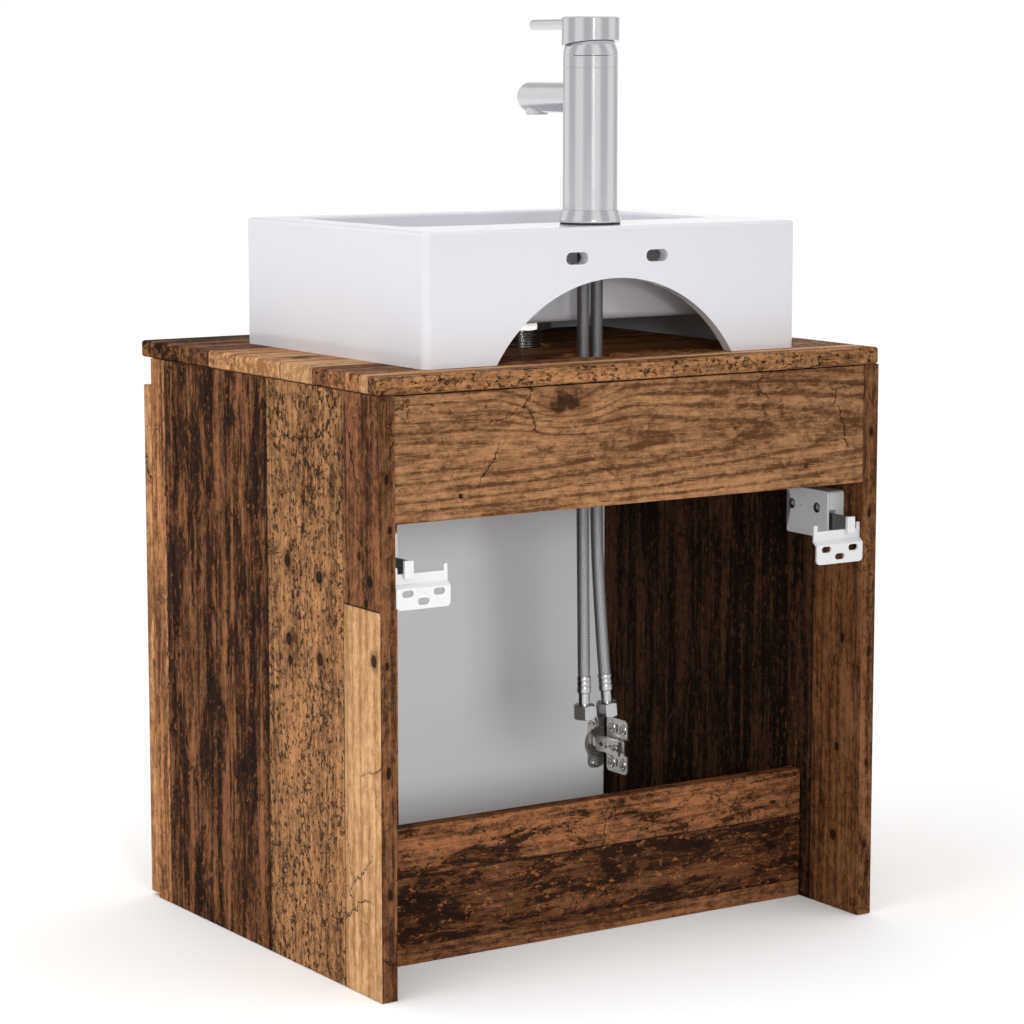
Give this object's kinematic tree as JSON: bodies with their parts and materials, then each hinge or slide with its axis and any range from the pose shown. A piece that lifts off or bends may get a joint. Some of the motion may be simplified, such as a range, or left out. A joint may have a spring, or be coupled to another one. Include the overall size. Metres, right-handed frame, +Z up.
{
  "type": "bathroom vanity cabinet",
  "caption": "Wall-hung vanity cabinet with overlay doors, wood-print boards, an open back, a counter-top basin, a mixer tap with braided hoses, and concealed hinges and hangers.",
  "frame": {"origin": "bottom centre of the whole object's box, on the plane that the cabinet stands on", "axes": "+Z up, +X right seen from the front, +Y towards the wall; the doors face -Y"},
  "size_m": [0.55, 0.45, 0.857],
  "materials": {
    "wood_print": "satin printed old-wood laminate on board; the doors' inner faces are light grey",
    "white_ceramic": "gloss",
    "chrome": "polished",
    "nickel": "nickel plated, bright",
    "zinc_steel": "zinc plated",
    "steel_braid": "stainless braid over a rubber hose",
    "white_metal": "white satin",
    "grey_plastic": "fine matt",
    "brass": "machined",
    "rubber": "matt"
  },
  "bodies": {
    "cabinet": {"basin": "white_ceramic", "bottom_panel": "wood_print", "bottom_rear_rail": "wood_print", "countertop": "wood_print", "drain_body": "chrome", "drain_nut": "nickel", "drain_washer": "rubber", "front_rail": "wood_print", "hanger_box_left": "grey_plastic", "hanger_box_right": "grey_plastic", "hanger_box_screws": "zinc_steel", "hinge_arm_left_lower": "nickel", "hinge_arm_left_upper": "nickel", "hinge_arm_right_lower": "nickel", "hinge_arm_right_upper": "nickel", "hinge_arm_screws": "zinc_steel", "hinge_plate_left_lower": "nickel", "hinge_plate_left_upper": "nickel", "hinge_plate_right_lower": "nickel", "hinge_plate_right_upper": "nickel", "hinge_plate_screws": "zinc_steel", "hose_ferrule_left": "zinc_steel", "hose_ferrule_right": "zinc_steel", "hose_inlet_left": "zinc_steel", "hose_inlet_right": "zinc_steel", "hose_left": "steel_braid", "hose_right": "steel_braid", "side_panel_left": "wood_print", "side_panel_right": "wood_print", "tap_aerator": "grey_plastic", "tap_body": "chrome", "tap_cap_ring": "chrome", "tap_cartridge": "grey_plastic", "tap_clamp_washer": "zinc_steel", "tap_gasket": "rubber", "tap_spout": "chrome", "tap_stud": "zinc_steel", "tap_stud_nut": "brass", "top_rear_rail": "wood_print"},
    "door_left": {"door_left": "wood_print", "hinge_cup_left_lower": "nickel", "hinge_cup_left_upper": "nickel", "hinge_pins_left": "zinc_steel", "hinge_cup_screws_left": "zinc_steel"},
    "door_right": {"door_right": "wood_print", "hinge_cup_right_lower": "nickel", "hinge_cup_right_upper": "nickel", "hinge_pins_right": "zinc_steel", "hinge_cup_screws_right": "zinc_steel"},
    "tap_swivel": {"tap_spindle": "brass"},
    "tap_lever": {"tap_stem": "brass", "tap_head": "chrome", "tap_lever_rod": "chrome"},
    "waste_plug": {"waste_plug": "chrome"},
    "hanger_left": {"hanger_hook_left": "zinc_steel", "wall_plate_left": "white_metal"},
    "hanger_right": {"hanger_hook_right": "zinc_steel", "wall_plate_right": "white_metal"},
    "hose_nut_left": {"hose_nut_left": "nickel"},
    "hose_nut_right": {"hose_nut_right": "nickel"}
  },
  "joints": [
    {"name": "door_left_hinge", "type": "hinge", "parent": "cabinet", "child": "door_left", "pos_m": [-0.267, -0.215, 0.2555], "axis": [0, 0, -1], "range_deg": [0, 100]},
    {"name": "door_right_hinge", "type": "hinge", "parent": "cabinet", "child": "door_right", "pos_m": [0.267, -0.215, 0.2555], "axis": [0, 0, 1], "range_deg": [0, 100]},
    {"name": "tap_swivel", "type": "hinge", "parent": "cabinet", "child": "tap_swivel", "pos_m": [0, 0.142, 0.822], "axis": [0, 0, 1], "range_deg": [-45, 45]},
    {"name": "tap_lift", "type": "hinge", "parent": "tap_swivel", "child": "tap_lever", "pos_m": [0, 0.142, 0.822], "axis": [-1, 0, 0], "range_deg": [0, 25]},
    {"name": "plug_lift", "type": "slide", "parent": "cabinet", "child": "waste_plug", "axis": [0, 0, 1], "range_m": [0, 0.008]},
    {"name": "hanger_left_depth", "type": "slide", "parent": "cabinet", "child": "hanger_left", "axis": [0, 1, 0], "range_m": [-0.004, 0.004]},
    {"name": "hanger_right_depth", "type": "slide", "parent": "cabinet", "child": "hanger_right", "axis": [0, 1, 0], "range_m": [-0.004, 0.004]},
    {"name": "hose_nut_left_turn", "type": "hinge", "parent": "cabinet", "child": "hose_nut_left", "pos_m": [-0.02146, 0.14192, 0.21613], "axis": [-0.0985, -0.0031, -0.9951], "continuous": true},
    {"name": "hose_nut_right_turn", "type": "hinge", "parent": "cabinet", "child": "hose_nut_right", "pos_m": [0.00475, 0.1419, 0.216], "axis": [-0.0168, -0.0037, -0.9999], "continuous": true}
  ]
}
